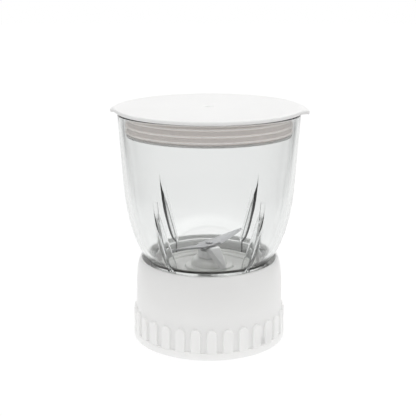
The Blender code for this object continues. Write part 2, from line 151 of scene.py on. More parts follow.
def lathe_mesh(section, turns, bend=None):
    """A bmesh: the closed section turned through the angles. Points at radius 0 are merged on the axis."""
    shape = bmesh.new()
    rings = []
    for r, z in section:
        if r < ON_AXIS:
            rings.append([shape.verts.new((0.0, 0.0, z * MM))])
            continue
        ring = []
        for angle in turns:
            radius, height = bend(angle, r, z) if bend else (r, z)
            ring.append(shape.verts.new(round_point(angle, radius, height)))
        rings.append(ring)
    for low, high in zip(rings, rings[1:] + rings[:1]):
        join_rings(shape, low, high)
    bmesh.ops.recalc_face_normals(shape, faces=shape.faces)
    return shape


def join_rings(shape, low, high):
    """Faces between two rings of points; either may be one point on the axis."""
    count = max(len(low), len(high))
    if count == 1:
        return
    for j in range(count):
        k = (j + 1) % count
        corners = [low[j % len(low)], low[k % len(low)], high[k % len(high)], high[j % len(high)]]
        unique = list(dict.fromkeys(corners))
        shape.faces.new(unique)


# %% From a bmesh to a piece that rides
def piece_from(name, shape, body, replaced, sharp=38.0):
    """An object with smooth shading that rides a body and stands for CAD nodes."""
    mesh = bpy.data.meshes.new(name)
    shape.to_mesh(mesh)
    shape.free()
    mesh.shade_smooth()
    mesh.set_sharp_from_angle(angle=math.radians(sharp))
    made = bpy.data.objects.new(name, mesh)
    bpy.context.scene.collection.objects.link(made)
    even = made.modifiers.new("even_normals", "WEIGHTED_NORMAL")
    even.keep_sharp = True
    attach(made, body)
    if replaced:
        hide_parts(*replaced)
    print(f"{name}: {len(mesh.vertices)} points, rides {body}")
    return made


def helper_object(name, shape):
    """A hidden object that a Boolean uses."""
    bmesh.ops.recalc_face_normals(shape, faces=shape.faces)
    mesh = bpy.data.meshes.new(name)
    shape.to_mesh(mesh)
    shape.free()
    made = bpy.data.objects.new(name, mesh)
    bpy.context.scene.collection.objects.link(made)
    made.hide_render = True
    made.hide_viewport = False
    made.display_type = "WIRE"
    return made


def carve(target, tool_shape, operation, name):
    """Joins or cuts a shape before the normals are evened out."""
    tool = helper_object(name, tool_shape)
    change = target.modifiers.new(name, "BOOLEAN")
    change.operation = operation
    change.solver = "EXACT"
    change.object = tool
    target.modifiers.move(len(target.modifiers) - 1, len(target.modifiers) - 2)


def turn_points(shape, verts, angle):
    """Turns some points round the upright axis."""
    bmesh.ops.rotate(shape, verts=verts, cent=(0, 0, 0), matrix=Matrix.Rotation(angle, 3, "Z"))


def copies_round(shape, count, first=0.0):
    """The bmesh repeated at equal angles round the axis."""
    single = list(shape.verts) + list(shape.edges) + list(shape.faces)
    for i in range(1, count):
        copied = bmesh.ops.duplicate(shape, geom=single)["geom"]
        verts = [v for v in copied if isinstance(v, bmesh.types.BMVert)]
        turn_points(shape, verts, 2 * math.pi * i / count)
    turn_points(shape, shape.verts, first)
    return shape


def swept_box(rows):
    """A bmesh through rows of four corners each, in millimetres, closed at both ends."""
    shape = bmesh.new()
    made = [[shape.verts.new(tuple(c * MM for c in corner)) for corner in row] for row in rows]
    for low, high in zip(made, made[1:]):
        for k in range(len(low)):
            n = (k + 1) % len(low)
            shape.faces.new((low[k], low[n], high[n], high[k]))
    shape.faces.new(made[0][::-1])
    shape.faces.new(made[-1])
    bmesh.ops.recalc_face_normals(shape, faces=shape.faces)
    return shape


# %% [markdown]
# ## Shader maths as plain expressions
#
# A material is a small program. Wrapping a socket in a class with the usual operators lets `0.3 + 0.1 *
# grain` add its own Math nodes, so the recipe of each finish stays readable. Everything else, such as noise
# or a bump, comes from one method that takes the node's type, its settings and its inputs.


# %% A socket with arithmetic
class Flow:
    """One output socket in a node tree; arithmetic on it adds Math nodes."""

    def __init__(self, tree, socket):
        self.tree = tree
        self.socket = socket

    def maths(self, operation, first, second):
        node = self.tree.nodes.new("ShaderNodeMath")
        node.operation = operation
        for slot_in, value in zip(node.inputs, (first, second)):
            feed(self.tree, value, slot_in)
        return Flow(self.tree, node.outputs[0])

    def __add__(self, other):
        return self.maths("ADD", self, other)

    def __radd__(self, other):
        return self.maths("ADD", other, self)

    def __sub__(self, other):
        return self.maths("SUBTRACT", self, other)

    def __rsub__(self, other):
        return self.maths("SUBTRACT", other, self)

    def __mul__(self, other):
        return self.maths("MULTIPLY", self, other)

    def __rmul__(self, other):
        return self.maths("MULTIPLY", other, self)


def feed(tree, value, socket):
    """Links a Flow to the socket, or sets the socket's own value."""
    if isinstance(value, Flow):
        tree.links.new(value.socket, socket)
    else:
        socket.default_value = value


# %% A finish and its nodes
class Finish:
    """One material: a Principled shader, and a method that adds any other node."""

    def __init__(self, name, **constants):
        self.material = bpy.data.materials.new(name)
        self.material.use_nodes = True
        self.tree = self.material.node_tree
        self.shader = self.tree.nodes["Principled BSDF"]
        for key, value in constants.items():
            self.shader.inputs[key.replace("_", " ")].default_value = value

    def node(self, kind, settings=None, out=0, **inputs):
        made = self.tree.nodes.new("ShaderNode" + kind)
        for key, value in (settings or {}).items():
            setattr(made, key, value)
        for key, value in inputs.items():
            feed(self.tree, value, made.inputs[key.replace("_", " ")])
        return Flow(self.tree, made.outputs[out])

    def place(self, scale=(1.0, 1.0, 1.0)):
        """Object coordinates, stretched by a scale."""
        where = self.node("TexCoord", out="Object")
        return self.node("Mapping", Vector=where, Scale=scale)

    def noise(self, scale, detail=3.0, stretch=(1.0, 1.0, 1.0)):
        return self.node("TexNoise", Vector=self.place(stretch), Scale=scale, Detail=detail)

    def blend(self, share, first, second):
        """A colour between two colours."""
        mix = self.tree.nodes.new("ShaderNodeMix")
        mix.data_type = "RGBA"
        feed(self.tree, share, mix.inputs[0])
        mix.inputs[6].default_value = (*first, 1.0)
        mix.inputs[7].default_value = (*second, 1.0)
        return Flow(self.tree, mix.outputs[2])

    def set(self, **inputs):
        for key, value in inputs.items():
            feed(self.tree, value, self.shader.inputs[key.replace("_", " ")])
        return self

    def bump(self, height, strength, distance):
        normal = self.node("Bump", Height=height, Strength=strength, Distance=distance * MM)
        return self.set(Normal=normal)

    def on(self, *objects):
        for obj in objects:
            obj.data.materials.clear()
            obj.data.materials.append(self.material)


# %% [markdown]
# ## White moulded plastic
#
# The lid and the ring are injection mouldings in a glossy white. Up close such a surface isn't one colour:
# the melt leaves faint broad clouding, and the tool's spark-eroded face leaves a very fine grain that
# softens the highlights. Both are noise, one at a few centimetres and one at a fraction of a millimetre.

# %% White moulding
WHITE = (0.845, 0.845, 0.838)
WHITE_CLOUDED = (0.820, 0.818, 0.808)
EVENLY = (1.0, 1.0, 1.0)

moulding = Finish("white_moulding", IOR=1.49)
moulding.set(Subsurface_Weight=0.7, Subsurface_Radius=EVENLY, Subsurface_Scale=0.006)
clouds = moulding.noise(38.0)
grain = moulding.noise(2600.0, detail=2.0)
moulding.set(Base_Color=moulding.blend(clouds, WHITE, WHITE_CLOUDED))
moulding.set(Roughness=0.26 + 0.08 * clouds + 0.05 * grain)
moulding.bump(grain, strength=0.10, distance=0.02)
print("white moulding ready")

# %% [markdown]
# ## Clear pressed jar
#
# The jar's clarity comes from real thickness: the mesh has an inner and an outer face, and light bends at
# each. Pressed clear ware is never optically flat, so a weak, broad bump lets the view through it waver a
# little. A trace of grey-green in the wall's volume gathers where the light's way through it is long, in
# the ribs and rim.

# %% Clear jar
CLEAR = (0.975, 0.978, 0.977)
CLEAR_DEEP = (0.962, 0.966, 0.965)
DEPTH_TINT = (0.785, 0.80, 0.79, 1.0)
DEPTH_DENSITY = 76.0

clear = Finish("clear_jar", Transmission_Weight=1.0, IOR=1.47)
waves = clear.noise(26.0, detail=1.0)
clear.set(Base_Color=clear.blend(waves, CLEAR, CLEAR_DEEP))
clear.set(Roughness=0.004 + 0.012 * clear.noise(90.0))
clear.bump(waves, strength=0.12, distance=0.35)
depth = clear.tree.nodes.new("ShaderNodeVolumeAbsorption")
depth.inputs["Color"].default_value = DEPTH_TINT
depth.inputs["Density"].default_value = DEPTH_DENSITY
clear.tree.links.new(depth.outputs["Volume"], clear.tree.nodes["Material Output"].inputs["Volume"])
print("clear jar ready")

# %% [markdown]
# ## Silicone, rubber and the small plastics
#
# The seals are soft and slightly translucent, with a dry sheen. Their colour follows the distance from the
# axis, lighter at the lips as a painted highlight and darker in the grooves as painted shade. Behind the
# clear wall the seal renders too dark, so its shader
# also gives off light of its own, most at the lips, and that is about two fifths of its brightness. It is a
# stand-in for light bounced about inside the silicone and the jar, not something silicone does. Turn it down
# wherever the seal is lit in the open. The carrier under the blades is a pale grey moulding, the dog below
# it is black, and one washer is nylon.

# %% Silicone
GROOVE_RADIUS = 50.9
LIP_RADIUS = 51.9
# Groove and lip colours: the grooves are darker as painted shade, the lips lighter as a painted highlight.
GROOVE_SHADE_BEIGE = (0.86, 0.815, 0.79)
LIP_HIGHLIGHT_BEIGE = (0.95, 0.92, 0.905)
GROOVE_GLOW = (0.10, 0.090, 0.086)
LIP_GLOW = (0.26, 0.245, 0.235)

silicone = Finish("silicone", IOR=1.41)
silicone.set(Subsurface_Weight=0.3, Subsurface_Radius=EVENLY, Subsurface_Scale=0.002)
haze = silicone.noise(60.0)
outward = silicone.node("VectorMath", {"operation": "LENGTH"}, out=1, Vector=silicone.place((1.0, 1.0, 0.0)))
eased_step = {"interpolation_type": "SMOOTHSTEP"}
groove_at = GROOVE_RADIUS * MM
lip_at = LIP_RADIUS * MM
# A mask from groove to lip: it makes the lips lighter as a painted highlight and the grooves darker as
# painted shade, and puts most of the painted glow on the lips.
lip_highlight_mask = silicone.node("MapRange", eased_step, Value=outward, From_Min=groove_at, From_Max=lip_at)
silicone.set(Base_Color=silicone.blend(haze * 0.3 + lip_highlight_mask * 0.7, GROOVE_SHADE_BEIGE, LIP_HIGHLIGHT_BEIGE))
silicone.set(Emission_Color=silicone.blend(lip_highlight_mask, GROOVE_GLOW, LIP_GLOW), Emission_Strength=1.0)
silicone.set(Roughness=0.42 + 0.16 * haze)
silicone.bump(silicone.noise(900.0), strength=0.15, distance=0.03)
print("silicone ready, with lips from", GROOVE_RADIUS, "to", LIP_RADIUS, "mm")

# %% Rubber
rubber = Finish("black_rubber", Specular_IOR_Level=0.35)
bloom = rubber.noise(140.0)
rubber.set(Base_Color=rubber.blend(bloom, (0.018, 0.018, 0.019), (0.040, 0.040, 0.042)))
rubber.set(Roughness=0.62 + 0.15 * bloom)
rubber.bump(rubber.noise(1500.0), strength=0.2, distance=0.03)
print("rubber ready")

# %% Small mouldings
grey_moulding = Finish("grey_moulding", IOR=1.49)
speck = grey_moulding.noise(45.0)
grey_moulding.set(Base_Color=grey_moulding.blend(speck, (0.86, 0.86, 0.84), (0.82, 0.82, 0.80)))
grey_moulding.set(Roughness=0.16 + 0.08 * speck)
grey_moulding.bump(grey_moulding.noise(2200.0), strength=0.10, distance=0.02)

nylon = Finish("natural_nylon", IOR=1.53, Subsurface_Weight=0.1, Subsurface_Scale=0.002)
milk = nylon.noise(200.0)
nylon.set(Base_Color=nylon.blend(milk, (0.72, 0.70, 0.62), (0.66, 0.64, 0.56)), Roughness=0.40 + 0.12 * milk)

black_moulding = Finish("black_moulding", IOR=1.49)
fleck = black_moulding.noise(320.0)
black_moulding.set(Base_Color=black_moulding.blend(fleck, (0.020, 0.020, 0.022), (0.036, 0.036, 0.038)))
black_moulding.set(Roughness=0.38 + 0.14 * fleck)
black_moulding.bump(black_moulding.noise(2400.0), strength=0.15, distance=0.03)
print("small mouldings ready")

# %% [markdown]
# ## Metals
#
# Blade strip is rolled and then brushed, so its scratches run one way. Stretching a noise texture gives
# such streaks: it varies quickly across the brushing and slowly along it. Turned parts carry fine rings
# instead, and sintered bronze shows its pores.


# %% Steel, satin sleeve and bronze
def brushed(name, bright, dull, low_rough, stretch, turn=0.0, metallic=1.0):
    """A metal with streaks along one direction; metallic below 1 gives a blasted, satin face."""
    metal = Finish(name, Metallic=metallic)
    where = metal.node("TexCoord", out="Object")
    turned_place = metal.node("Mapping", Vector=where, Rotation=(0.0, 0.0, -turn))
    stretched = metal.node("Mapping", Vector=turned_place, Scale=stretch)
    streaks = metal.node("TexNoise", Vector=stretched, Scale=1.0, Detail=4.0)
    smear = metal.noise(160.0)
    metal.set(Base_Color=metal.blend(streaks, bright, dull))
    metal.set(Roughness=low_rough + 0.16 * streaks + 0.06 * smear)
    metal.bump(streaks, strength=0.12, distance=0.02)
    return metal


STREAKS_ALONG_X = (180.0, 5200.0, 1200.0)
STREAKS_ROUND = (300.0, 300.0, 6500.0)
turned_steel = brushed("turned_steel", (0.44, 0.44, 0.45), (0.34, 0.34, 0.35), 0.20, STREAKS_ROUND)
SLEEVE_BRIGHT = (0.90, 0.90, 0.90)
SLEEVE_DULL = (0.82, 0.82, 0.82)
sleeve_steel = brushed("sleeve_steel", SLEEVE_BRIGHT, SLEEVE_DULL, 0.42, STREAKS_ROUND, metallic=0.35)

bronze = Finish("sintered_bronze", Metallic=1.0)
pores = bronze.node("TexVoronoi", Vector=bronze.place(), Scale=2600.0)
bronze.set(Base_Color=bronze.blend(pores, (0.30, 0.19, 0.10), (0.50, 0.34, 0.19)))
bronze.set(Roughness=0.62 - 0.14 * pores)
bronze.bump(pores, strength=0.25, distance=0.04)
print("metals ready")

# %% [markdown]
# ## The jar's outline
#
# Seen from the side, the jar is a slightly flared cone that rounds into a bowl and then drops into a
# straight neck. A cone minus part of an ellipse says that in one formula, and an even wall follows by
# stepping inwards along the curve's normal.

# %% Jar outline
FLARE = 0.066
BOWL_TOP = 99.0
BOWL_HEIGHT = 51.0
BOWL_DEPTH = 17.8
WALL = 3.2
NECK_RADIUS = 37.6
NECK_TOP = 50.0


def jar_radius(z):
    cone = rim_radius - FLARE * (rim_z - z)
    if z >= BOWL_TOP:
        return cone
    share = min(1.0, (BOWL_TOP - z) / BOWL_HEIGHT)
    return max(NECK_RADIUS, cone - BOWL_DEPTH * (1 - math.sqrt(1 - share * share)))


def inner_point(z):
    slope = jar_radius(z + 0.25) - jar_radius(z - 0.25)
    slope = slope / 0.5
    length = math.hypot(1.0, slope)
    return jar_radius(z) - WALL / length, z + WALL * slope / length


print("outer radius at 60, 80 and 120 mm:", [round(jar_radius(z), 1) for z in (60, 80, 120)])

# %% [markdown]
# ## Four flow ribs
#
# The ribs stir the food back onto the blades. Each is a rounded fin that grows out of the bowl's inner wall
# and runs down into the neck. They could be separate solids joined by a Boolean, but a join in clear
# material leaves hard seams that show. Raising them out of the wall's own grid keeps one smooth skin, so
# the lathe gets extra columns near each rib and a `bend` that pulls the wall inwards there.

# %% Rib shape
RIB_ANGLES = [math.radians(a) for a in (50, 130, 232, 308)]
RIB_FOOT = 40.6
RIB_CREST = [
    (97.5, 50.2),
    (90.5, 48.7),
    (87.5, 47.1),
    (80.5, 43.9),
    (68.4, 38.9),
    (58.8, 34.6),
    (55.0, 32.9),
    (RIB_FOOT, 32.9),
]
RIB_PROFILE = [
    (0.0, 1.0),
    (0.9, 1.0),
    (1.4, 0.985),
    (1.66, 0.93),
    (1.8, 0.84),
    (1.88, 0.5),
    (1.96, 0.16),
    (2.1, 0.05),
    (2.4, 0.0),
]


def smooth(t):
    t = min(1.0, max(0.0, t))
    return t * t * (3 - 2 * t)


def read_pairs(pairs, x):
    """Straight-line reading of (x, y) pairs sorted by x."""
    if x <= pairs[0][0]:
        return pairs[0][1]
    for (x0, y0), (x1, y1) in zip(pairs, pairs[1:]):
        if x <= x1:
            return y0 + (y1 - y0) * (x - x0) / (x1 - x0)
    return pairs[-1][1]


def crest_radius(z):
    """Radius of a rib's inner edge, averaged over a few millimetres so that its bends are round."""
    rising = sorted(RIB_CREST)
    return sum(read_pairs(rising, z + d) for d in (-2.4, -1.6, -0.8, 0.0, 0.8, 1.6, 2.4)) / 7


def rib_rise(angle, r, z):
    """How far a rib pulls the inner wall inwards here."""
    depth = r - crest_radius(z)
    if depth <= 0 or z < RIB_FOOT - 0.6 or z > RIB_CREST[0][0]:
        return 0.0
    aside = min(abs((angle - a + math.pi) % (2 * math.pi) - math.pi) for a in RIB_ANGLES)
    foot = smooth((z - (RIB_FOOT - 0.6)) / 0.6)
    return depth * foot * read_pairs(RIB_PROFILE, math.degrees(aside))


# %% The jar's grid
WALL_TURNS = 96
RIB_COLUMNS = [degrees for degrees, share in RIB_PROFILE] + [3.0, 3.8, 4.6]
RIB_SPREAD = math.radians(5.2)


def jar_turns():
    """Even columns, with a close set of extra ones across each rib, placed where its profile bends."""
    plain = [a for a in even_turns(WALL_TURNS) if all(abs(a - rib) > RIB_SPREAD for rib in RIB_ANGLES)]
    offsets = sorted({math.radians(side * degrees) for degrees in RIB_COLUMNS for side in (-1, 1)})
    close = [rib + offset for rib in RIB_ANGLES for offset in offsets]
    return sorted(plain + close)


def spaced(start, end, step):
    count = max(1, round(abs(end - start) / step))
    return [start + (end - start) * i / count for i in range(count)]


def jar_section():
    """The closed section: up the outside, over the rim, down the inside and under the neck's lip."""
    outer = spaced(NECK_TOP + 0.2, 72.0, 1.4) + spaced(72.0, BOWL_TOP, 2.0) + [BOWL_TOP, 112.0, 126.0, 138.0]
    inner = [138.0, 126.0, 112.0, 104.0] + spaced(101.0, NECK_TOP + 1.4, 1.0)
    bore = NECK_RADIUS - WALL
    corners = [(jar_radius(z), z, 0) for z in outer]
    corners += [(rim_radius, rim_z, 1.3), (rim_radius - WALL, rim_z, 1.3)]
    corners += [(*inner_point(z), 0) for z in inner]
    corners = [c for c in corners if c[0] > bore]
    lowest = corners[-1][1]
    neck = spaced(lowest - 1.2, RIB_FOOT + 0.1, 1.5) + spaced(RIB_FOOT, RIB_FOOT - 0.8, 0.2)
    corners += [(bore, z, 0) for z in neck]
    corners += [(bore, neck_z, 0.8), (NECK_RADIUS, neck_z, 0.8)]
    corners += [(NECK_RADIUS, z, 0) for z in (38.0, 44.0, 48.4)]
    return rounded(corners)


def jar_bend(angle, r, z):
    """Only the inner skin is pulled into ribs."""
    inside = r < jar_radius(z) - WALL / 2
    return (r - rib_rise(angle, r, z), z) if inside else (r, z)


jar = piece_from(
    "clear_jar_body",
    lathe_mesh(jar_section(), jar_turns(), jar_bend),
    "jar",
    ["jar"],
    sharp=60.0,
)
clear.on(jar)

# %% [markdown]
# ## Thread lugs
#
# The jar screws into the ring on four steep lugs, a quick thread that opens in about half a turn. A lug is
# a short piece of helix with a square section. The same function makes the jar's lugs and the ring's, which
# sit half a millimetre above them.

# %% Helical lugs
LUG_LEAD = 32.0
LUG_TALL = 2.4
LUG_PLAY = 0.5
RING_LUG_ARC = math.radians(52)
JAR_LUG_ARC = math.radians(38)
RING_LUG_Z = 41.6


def lugs(inner, outer, start, z, arc, steps=12):
    rows = []
    for i in range(steps + 1):
        share = i / steps
        angle = start + arc * share
        level = z + LUG_LEAD * arc * share / (2 * math.pi)
        low, high = level - LUG_TALL / 2, level + LUG_TALL / 2
        corners = [(inner, low), (outer, low + 0.3), (outer, high - 0.3), (inner, high)]
        rows.append([(r * math.cos(angle), r * math.sin(angle), h) for r, h in corners])
    return copies_round(swept_box(rows), 4)


jar_lug_start = (RING_LUG_ARC - JAR_LUG_ARC) / 2
jar_lug_z = RING_LUG_Z - LUG_TALL - LUG_PLAY + LUG_LEAD * jar_lug_start / (2 * math.pi)
carve(jar, lugs(NECK_RADIUS - 1.0, 41.3, jar_lug_start, jar_lug_z, JAR_LUG_ARC), "UNION", "jar_lugs")

# %% [markdown]
# ## The lid
#
# The cover is a flat disc with two pointed ears for the thumbs. An ear's sides are tangents to the disc, so
# the edge's radius at an angle is the disc's radius divided by a cosine until the line meets the circle.
# Only the outer points of the section follow that edge. Underneath hangs a hollow plug.

# %% Lid section
LID_RADIUS = 58.2
EAR_MEET = math.radians(22.3)
EAR_SOFT = math.radians(2.2)
EAR_TURN = math.radians(-4.5)
EAR_LENGTH = 3.9
EAR_DROOP = 2.0
BEND_FROM = 53.5
DROOP_FROM = LID_RADIUS + 0.2
PLATE = 2.4


def ear_reach(angle):
    """The edge's radius at this angle, over the disc's radius."""
    side = (angle - EAR_TURN + math.pi / 2) % math.pi - math.pi / 2
    side = math.hypot(side, EAR_SOFT)
    return 1 / math.cos(max(0.0, EAR_MEET - side))


def lid_bend(angle, r, z):
    """Draws the lid's outer points out to the ears, which droop a little towards their tips."""
    share = smooth((r - BEND_FROM) / (LID_RADIUS - BEND_FROM))
    reached = r + share * LID_RADIUS * (ear_reach(angle) - 1)
    return reached, z - EAR_DROOP * max(0.0, reached - DROOP_FROM) / EAR_LENGTH


plate_under = lid_z - PLATE
plug_bottom = bottom_of("lid")
lid_section = rounded(
    [
        (0.0, lid_z - 1.0, 0),
        (2.2, lid_z - 0.95, 0.5),
        (3.4, lid_z, 0.3),
        (30.0, lid_z, 0),
        (50.0, lid_z, 0),
        (55.0, lid_z, 0),
        (LID_RADIUS, lid_z, 0.9),
        (LID_RADIUS, plate_under, 0.6),
        (55.5, plate_under, 0),
        (BEND_FROM, plate_under, 0),
        (49.6, plate_under, 0.5),
        (49.6, plug_bottom + 1.2, 0.2),
        (51.6, plug_bottom + 1.0, 0.35),
        (51.6, plug_bottom, 0.35),
        (47.6, plug_bottom, 0.5),
        (47.6, plate_under, 0.8),
        (12.0, plate_under, 0),
        (0.0, plate_under, 0),
    ]
)
LID_TURNS = 240
lid_shape = lathe_mesh(lid_section, even_turns(LID_TURNS), lid_bend)
lid = piece_from("lid_cover", lid_shape, "lid", ["lid"])
moulding.on(lid)

# %% [markdown]
# ## The lid's seal
#
# A sleeve of silicone is stretched round the plug. Its three lips bend against the jar's wall, and a lip is
# thin at the edge and thick at the root, so each one is a rounded wedge in the section.

# %% Lid seal
seal_low = bottom_of("lid_seal")
seal_high = top_of("lid_seal")
seal_tip = radius_of("lid_seal")
SEAL_INNER = 49.9
SEAL_BODY = 50.9
seal_corners = [(SEAL_INNER, seal_high, 0.2), (SEAL_INNER, seal_low, 0.2), (SEAL_BODY, seal_low, 0.25)]
for lip_z in (135.2, 138.9, 142.9):
    seal_corners += [
        (SEAL_BODY, lip_z - 0.9, 0.25),
        (seal_tip, lip_z - 0.1, 0.12),
        (seal_tip, lip_z + 0.35, 0.12),
        (SEAL_BODY, lip_z + 0.6, 0.25),
    ]
seal_corners += [(SEAL_BODY, seal_high, 0.25)]
seal = piece_from(
    "lid_lip_seal", lathe_mesh(rounded(seal_corners, 3), even_turns(160)), "lid", ["lid_seal"]
)
silicone.on(seal)

# %% [markdown]
# ## The ring's grip pads
#
# Thirty pads with round tops stand out of the ring so that wet hands can turn it. Joining thirty boxes to a
# cone with a Boolean leaves long thin faces that shade badly. Here each pad gets its own patch of grid
# instead: a nest of arches, from the pad's middle line out to the edge of its 12 degree share of the ring.
# Moving an arch inwards or outwards then shapes the pad's face, its rounded shoulder and its foot.

# %% Nest of arches for one pad
PADS = 30
PAD_FIRST = math.radians(-88)
PAD_FLOOR = 4.6
PAD_SPRING = 16.1
PAD_FACE = 48.75
SIDE_STEPS = 8
ARCH_STEPS = 16
PAD_WALL = 47.3
SHARE_HALF = PAD_WALL * math.tan(math.pi / PADS)
ARCHES = [
    (0.0, 1.0),
    (1.6, 1.0),
    (2.45, 1.0),
    (2.8, 0.93),
    (3.05, 0.74),
    (3.15, 0.42),
    (3.22, 0.14),
    (3.42, 0.0),
]


def cone_radius(z):
    """The ring's wall between the pads and up to its shoulder."""
    return 47.35 - 0.45 * (z - 4.8) / 22.2


def arch_points(half):
    """An open arch from its left foot over the top to its right foot, as (aside, height)."""
    left = [(-half, z) for z in spaced(PAD_FLOOR, PAD_SPRING, (PAD_SPRING - PAD_FLOOR) / SIDE_STEPS)]
    angles = [math.pi * (1 - i / ARCH_STEPS) for i in range(ARCH_STEPS + 1)]
    top = [(half * math.cos(a), PAD_SPRING + half * math.sin(a)) for a in angles]
    return left + top + [(-x, z) for x, z in reversed(left)]


def frame_points():
    """The outermost arch, squared out to the border of the pad's share."""
    points = []
    for x, z in arch_points(1.0):
        if z <= PAD_SPRING:
            points.append((math.copysign(SHARE_HALF, x), z))
            continue
        up = z - PAD_SPRING
        reach = min(SHARE_HALF / max(abs(x), 1e-9), SHARE_HALF / up)
        points.append((x * reach, PAD_SPRING + up * reach))
    return points


PATCH_TOP = PAD_SPRING + SHARE_HALF

# %% One pad's patch, and the ring of patches
nest = [(arch_points(half), lift) for half, lift in ARCHES] + [(frame_points(), 0.0)]


def patch_vertex(shape, x, z, lift, centre):
    wall = cone_radius(z)
    r = wall + (PAD_FACE - wall) * lift
    angle = centre + x / SHARE_HALF * math.pi / PADS
    return shape.verts.new(round_point(angle, r, z))


def pad_patch(shape, centre):
    """Adds one pad's share and returns its lower edge and its upper edge, both from left to right."""
    rows = [[patch_vertex(shape, x, z, lift, centre) for x, z in points] for points, lift in nest]
    for inner, outer in zip(rows, rows[1:]):
        for k in range(len(inner) - 1):
            shape.faces.new((inner[k], outer[k], outer[k + 1], inner[k + 1]))
    lower = [row[0] for row in reversed(rows)] + [row[-1] for row in rows[1:]]
    border = rows[-1]
    first = SIDE_STEPS + ARCH_STEPS // 4
    upper = border[first : first + ARCH_STEPS // 2 + 1]
    return lower, upper


shape = bmesh.new()
lower_edge = []
upper_edge = []
for i in range(PADS):
    # A patch ends on the column where the next one starts, so its last point is left to that one.
    lower, upper = pad_patch(shape, PAD_FIRST + 2 * math.pi * i / PADS)
    lower_edge += lower[:-1]
    upper_edge += upper[:-1]
print("pads:", PADS, "patches,", len(shape.faces), "faces")


# %% The rest of the ring, grown from the patches' two edges
def next_ring(shape, edge, r, z):
    """A new ring of points at one radius and height, joined to the last one column by column."""
    made = []
    for v in edge:
        angle = math.atan2(v.co.y, v.co.x)
        made.append(shape.verts.new(round_point(angle, r, z)))
    join_rings(shape, edge, made)
    return made


def grow(shape, edge, corners, steps=4):
    """Follows a rounded path of corners from the edge; the first and last corner only guide it."""
    for r, z in rounded(corners, steps)[1:-1]:
        edge = next_ring(shape, edge, r, z)
    return edge


ledge_z = 29.0
ledge_under = 26.4
skirt = 44.9
upper_end = grow(
    shape,
    upper_edge,
    [
        (cone_radius(PATCH_TOP), PATCH_TOP, 0),
        (cone_radius(27.0), 27.0, 0),
        (46.55, 40.0, 1.5),
        (45.85, 47.0, 2.5),
        (44.7, 51.0, 1.2),
        (43.35, mouth_z + 0.35, 1.1),
        (42.2, 50.9, 0.9),
        (42.4, 48.8, 0.6),
        (42.6, 46.0, 0),
        (42.6, ledge_z, 0.5),
        (32.4, ledge_z, 0.4),
        (32.4, ledge_under, 0.4),
        (37.0, ledge_under, 0),
        (38.0, ledge_under, 0),
    ],
)
lower_end = grow(
    shape,
    lower_edge,
    [
        (47.35, PAD_FLOOR, 0),
        (foot_radius, PAD_FLOOR - 0.1, 0.25),
        (foot_radius, 0.0, 0.5),
        (skirt + 0.4, 0.0, 0.4),
        (skirt, ledge_under, 0.8),
        (42.0, ledge_under, 0),
        (41.0, ledge_under, 0),
    ],
)
print("upper end", len(upper_end), "columns, lower end", len(lower_end))

# %% Close the ring under its ledge
bmesh.ops.remove_doubles(shape, verts=shape.verts, dist=0.0005 * MM)
bmesh.ops.dissolve_degenerate(shape, edges=shape.edges, dist=0.0005 * MM)
open_edges = [e for e in shape.edges if e.is_boundary]
bmesh.ops.bridge_loops(shape, edges=open_edges)
bmesh.ops.recalc_face_normals(shape, faces=shape.faces)
screw_ring = piece_from("grip_ring", shape, "base", ["base_collar"], sharp=50.0)
moulding.on(screw_ring)

# %% The ring's lugs, lock tabs and screw holes
SCREW_CIRCLE = 35.6
SCREW_ANGLES = [math.radians(a) for a in (90, 210, 330)]


def lock_tabs():
    rows = []
    for i in range(9):
        angle = math.radians(-7 + 14 * i / 8)
        corners = [(skirt + 1.2, 5.0), (42.7, 5.3), (42.7, 7.7), (skirt + 1.2, 8.0)]
        rows.append([(r * math.cos(angle), r * math.sin(angle), h) for r, h in corners])
    return copies_round(swept_box(rows), 4, math.radians(45))


def screw_drills(radius, low, high):
    shape = lathe_mesh([(0.0, low), (radius, low), (radius, high), (0.0, high)], even_turns(24))
    bmesh.ops.translate(shape, verts=shape.verts, vec=(SCREW_CIRCLE * MM, 0, 0))
    return copies_round(shape, 3, SCREW_ANGLES[0])


carve(screw_ring, lugs(39.2, 43.6, 0.0, RING_LUG_Z, RING_LUG_ARC), "UNION", "ring_lugs")
carve(screw_ring, lock_tabs(), "UNION", "lock_tabs")
carve(screw_ring, screw_drills(1.8, 25.0, 31.0), "DIFFERENCE", "screw_drills")
print("ring finished")

# %% [markdown]
# ## The jar's floor
#
# The floor under the blades is a stepped dish with a domed boss in the middle, which lifts the bearing
# above the food. Its underside follows the steps at an even wall, as any moulding does.

# %% Blade carrier
flange_z = bottom_of("blade_carrier")
floor_section = rounded(
    [
        (38.8, flange_z, 0.4),
        (38.8, 32.0, 0.4),
        (31.9, 32.0, 0.5),
        (32.2, 46.6, 0.6),
        (30.6, 46.6, 0.4),
        (30.2, 44.9, 0.4),
        (27.6, 44.7, 0.3),
        (27.2, 43.4, 0.4),
        (22.4, 43.2, 0.2),
        (22.0, 43.8, 0.3),
        (16.0, 43.9, 0.4),
        (15.4, 46.0, 0.5),
        (11.6, 46.2, 0.3),
        (11.6, 48.8, 1.2),
        (10.3, 51.0, 1.0),
        (8.0, 51.5, 0.5),
        (5.4, 51.5, 0.2),
        (5.4, 38.6, 0.3),
        (13.4, 38.6, 0.4),
        (14.0, 41.2, 0.5),
        (24.4, 40.8, 0.5),
        (25.0, 38.2, 0.4),
        (28.8, 37.8, 0.6),
        (29.6, flange_z, 0.4),
    ]
)
floor_dish = piece_from(
    "stepped_floor", lathe_mesh(floor_section, even_turns(120)), "base", ["blade_carrier"]
)
carve(floor_dish, screw_drills(1.5, 28.0, 31.3), "DIFFERENCE", "floor_drills")
grey_moulding.on(floor_dish)

